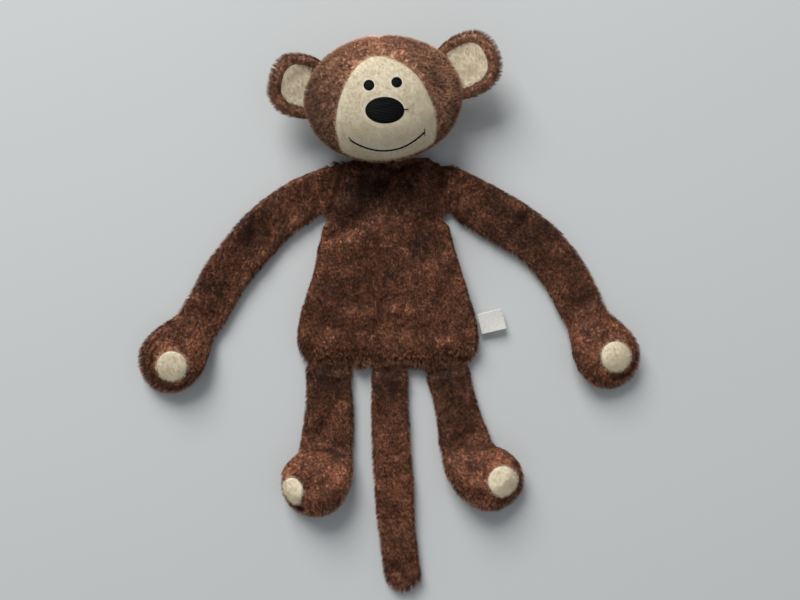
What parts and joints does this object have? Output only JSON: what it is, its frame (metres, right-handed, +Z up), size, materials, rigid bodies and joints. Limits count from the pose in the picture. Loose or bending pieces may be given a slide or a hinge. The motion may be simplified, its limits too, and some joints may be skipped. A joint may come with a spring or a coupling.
{
  "type": "stuffed monkey",
  "caption": "Floppy plush monkey with a stuffed head, hands and feet, limp flat arms, legs and tail, and a thin soft body.",
  "frame": {"origin": "middle of the torso's back, on the surface that the toy lies on", "axes": "+Z up, out of the monkey's front; +Y towards its head; +X towards its left side"},
  "size_m": [0.3273, 0.3642, 0.0588],
  "materials": {
    "brown_plush": "short chestnut pile",
    "cream_plush": "short dense pile",
    "embroidery": "satin stitch",
    "label_satin": "satin ribbon",
    "stuffing": "loose fibre"
  },
  "bodies": {
    "torso": {"torso_back": "brown_plush", "torso_front": "brown_plush", "torso_wadding": "stuffing", "neck_seam": "brown_plush", "shoulder_seam_left": "brown_plush", "shoulder_seam_right": "brown_plush", "hip_seam_left": "brown_plush", "hip_seam_right": "brown_plush", "tail_seam": "brown_plush"},
    "head": {"head_side_left": "brown_plush", "head_side_right": "brown_plush", "face_panel": "cream_plush", "head_stuffing": "stuffing", "left_eye": "embroidery", "right_eye": "embroidery", "nose": "embroidery", "mouth_stitch": "embroidery", "ear_seam_left": "brown_plush", "ear_seam_right": "brown_plush"},
    "tail_base": {"tail_base_back": "brown_plush", "tail_base_front": "brown_plush"},
    "tail_tip": {"tail_tip_back": "brown_plush", "tail_tip_front": "brown_plush"},
    "label": {"side_label": "label_satin"},
    "ear_left": {"ear_back_left": "brown_plush", "ear_rim_left": "brown_plush", "ear_lining_left": "cream_plush"},
    "upper_arm_left": {"upper_arm_left_back": "brown_plush", "upper_arm_left_front": "brown_plush"},
    "forearm_left": {"forearm_left_back": "brown_plush", "forearm_left_front": "brown_plush"},
    "leg_left": {"leg_left_back": "brown_plush", "leg_left_front": "brown_plush"},
    "hand_left": {"hand_left_back": "brown_plush", "hand_left_front": "brown_plush", "hand_left_pad": "cream_plush", "hand_left_stuffing": "stuffing"},
    "foot_left": {"foot_left_back": "brown_plush", "foot_left_front": "brown_plush", "foot_left_pad": "cream_plush", "foot_left_stuffing": "stuffing"},
    "ear_right": {"ear_back_right": "brown_plush", "ear_rim_right": "brown_plush", "ear_lining_right": "cream_plush"},
    "upper_arm_right": {"upper_arm_right_back": "brown_plush", "upper_arm_right_front": "brown_plush"},
    "forearm_right": {"forearm_right_back": "brown_plush", "forearm_right_front": "brown_plush"},
    "leg_right": {"leg_right_back": "brown_plush", "leg_right_front": "brown_plush"},
    "hand_right": {"hand_right_back": "brown_plush", "hand_right_front": "brown_plush", "hand_right_pad": "cream_plush", "hand_right_stuffing": "stuffing"},
    "foot_right": {"foot_right_back": "brown_plush", "foot_right_front": "brown_plush", "foot_right_pad": "cream_plush", "foot_right_stuffing": "stuffing"}
  },
  "joints": [
    {"name": "head_nod", "type": "hinge", "parent": "torso", "child": "head", "pos_m": [0.0025, 0.071, 0.0075], "axis": [1, 0, 0], "range_deg": [-45, 35]},
    {"name": "ear_left_flap", "type": "hinge", "parent": "head", "child": "ear_left", "pos_m": [0.04277, 0.12538, 0.024], "axis": [0.4067, -0.9135, 0], "range_deg": [-35, 60], "stiffness_Nm_per_rad": 0.004},
    {"name": "ear_right_flap", "type": "hinge", "parent": "head", "child": "ear_right", "pos_m": [-0.05201, 0.11542, 0.024], "axis": [0.2079, 0.9781, 0], "range_deg": [-35, 60], "stiffness_Nm_per_rad": 0.004},
    {"name": "shoulder_left", "type": "hinge", "parent": "torso", "child": "upper_arm_left", "pos_m": [0.03915, 0.0505, 0.0045], "axis": [0.0091, 1, 0], "range_deg": [-75, 60]},
    {"name": "elbow_left", "type": "hinge", "parent": "upper_arm_left", "child": "forearm_left", "pos_m": [0.086, 0.025, 0.0045], "axis": [0.5633, 0.8262, 0], "range_deg": [-80, 60]},
    {"name": "wrist_left", "type": "hinge", "parent": "forearm_left", "child": "hand_left", "pos_m": [0.12625, -0.027, 0.0045], "axis": [0.9165, 0.3999, 0], "range_deg": [-50, 50]},
    {"name": "shoulder_right", "type": "hinge", "parent": "torso", "child": "upper_arm_right", "pos_m": [-0.03775, 0.051, 0.0045], "axis": [0.2691, 0.9631, 0], "range_deg": [-60, 75]},
    {"name": "elbow_right", "type": "hinge", "parent": "upper_arm_right", "child": "forearm_right", "pos_m": [-0.084, 0.022, 0.0045], "axis": [-0.6881, 0.7256, 0], "range_deg": [-60, 80]},
    {"name": "wrist_right", "type": "hinge", "parent": "forearm_right", "child": "hand_right", "pos_m": [-0.121, -0.0325, 0.0045], "axis": [-0.8662, 0.4997, 0], "range_deg": [-50, 50]},
    {"name": "hip_left", "type": "hinge", "parent": "torso", "child": "leg_left", "pos_m": [0.03795, -0.06725, 0.0045], "axis": [-0.9883, -0.1528, 0], "range_deg": [-60, 85]},
    {"name": "ankle_left", "type": "hinge", "parent": "leg_left", "child": "foot_left", "pos_m": [0.0486, -0.11175, 0.0045], "axis": [-0.9739, -0.2268, 0], "range_deg": [-50, 50]},
    {"name": "hip_right", "type": "hinge", "parent": "torso", "child": "leg_right", "pos_m": [-0.04025, -0.06525, 0.0045], "axis": [-0.9925, 0.1219, 0], "range_deg": [-60, 85]},
    {"name": "ankle_right", "type": "hinge", "parent": "leg_right", "child": "foot_right", "pos_m": [-0.04025, -0.11375, 0.0045], "axis": [-0.9991, 0.0434, 0], "range_deg": [-50, 50]},
    {"name": "tail_root", "type": "hinge", "parent": "torso", "child": "tail_base", "pos_m": [0.001, -0.06815, 0.0045], "axis": [-0.9999, 0.0126, 0], "range_deg": [-60, 80]},
    {"name": "tail_fold", "type": "hinge", "parent": "tail_base", "child": "tail_tip", "pos_m": [0.00335, -0.141, 0.0045], "axis": [-0.9973, 0.0736, 0], "range_deg": [-60, 85]},
    {"name": "label_flap", "type": "hinge", "parent": "torso", "child": "label", "pos_m": [0.0601, -0.03925, 0.0045], "axis": [0.2334, -0.9724, 0], "range_deg": [-60, 60], "stiffness_Nm_per_rad": 0.0005}
  ]
}
